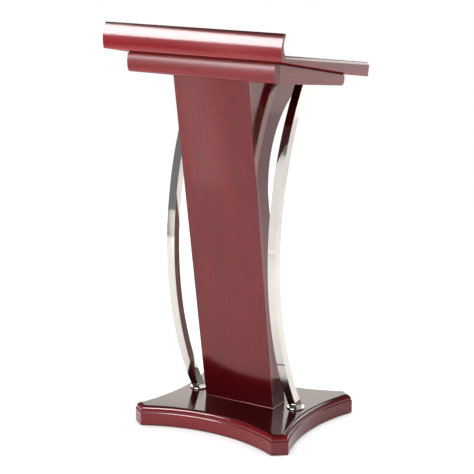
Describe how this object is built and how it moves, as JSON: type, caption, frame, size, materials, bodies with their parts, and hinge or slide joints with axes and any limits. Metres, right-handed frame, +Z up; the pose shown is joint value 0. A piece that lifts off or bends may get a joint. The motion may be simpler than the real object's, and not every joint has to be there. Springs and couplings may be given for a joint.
{
  "type": "lectern stand",
  "caption": "Standing lectern: moulded hollow-sided base, leaning column flaring at the head, bowed square chrome tubes either side, sloping desk with a curved front crown.",
  "frame": {"origin": "on the floor, under the middle of the whole stand's box; the base's own middle is 29 mm nearer the speaker", "axes": "+Z up, +X to the right as the audience faces the lectern, +Y towards the speaker"},
  "size_m": [0.548, 0.4974, 1.15],
  "materials": {
    "cherry_lacquer": "high-gloss dark cherry lacquer over fine straight grain",
    "core_board": "raw fibreboard, unfinished",
    "dowel_beech": "fluted beech, unfinished",
    "spacer_black": "matt dark stain",
    "polished_steel": "mirror-polished stainless steel",
    "fixing_steel": "zinc-plated",
    "mat_rubber": "matt black non-slip rubber sheet"
  },
  "bodies": {
    "root": {"apron_bottom_panel": "cherry_lacquer", "apron_front_board": "cherry_lacquer", "apron_left_board": "cherry_lacquer", "apron_left_rib": "core_board", "apron_rear_rail": "cherry_lacquer", "apron_right_board": "cherry_lacquer", "apron_right_rib": "core_board", "base_bottom_panel": "core_board", "base_core_block": "core_board", "base_core_screws": "fixing_steel", "base_front_left_block": "cherry_lacquer", "base_front_rail": "cherry_lacquer", "base_front_right_block": "cherry_lacquer", "base_left_rail": "cherry_lacquer", "base_mat": "mat_rubber", "base_rear_left_block": "cherry_lacquer", "base_rear_rail": "cherry_lacquer", "base_rear_right_block": "cherry_lacquer", "base_right_rail": "cherry_lacquer", "base_top_board": "cherry_lacquer", "column_back_board": "cherry_lacquer", "column_brace_block": "core_board", "column_dowels": "dowel_beech", "column_foot_block": "core_board", "column_foot_bolts": "fixing_steel", "column_front_board": "cherry_lacquer", "column_head_block": "core_board", "column_head_bolts": "fixing_steel", "column_left_board": "cherry_lacquer", "column_right_board": "cherry_lacquer", "crown_fascia": "cherry_lacquer", "desk_floor_panel": "cherry_lacquer", "desk_left_cheek": "cherry_lacquer", "desk_left_rib": "core_board", "desk_middle_rib": "core_board", "desk_reading_panel": "cherry_lacquer", "desk_rear_rim": "cherry_lacquer", "desk_right_cheek": "cherry_lacquer", "desk_right_rib": "core_board", "desk_screws": "fixing_steel", "desk_spacer": "spacer_black", "left_tube": "polished_steel", "left_tube_flange": "polished_steel", "left_tube_foot_plate": "fixing_steel", "left_tube_head_plate": "fixing_steel", "right_tube": "polished_steel", "right_tube_flange": "polished_steel", "right_tube_foot_plate": "fixing_steel", "right_tube_head_plate": "fixing_steel", "tube_foot_bolts": "fixing_steel", "tube_head_bolts": "fixing_steel"}
  },
  "joints": []
}
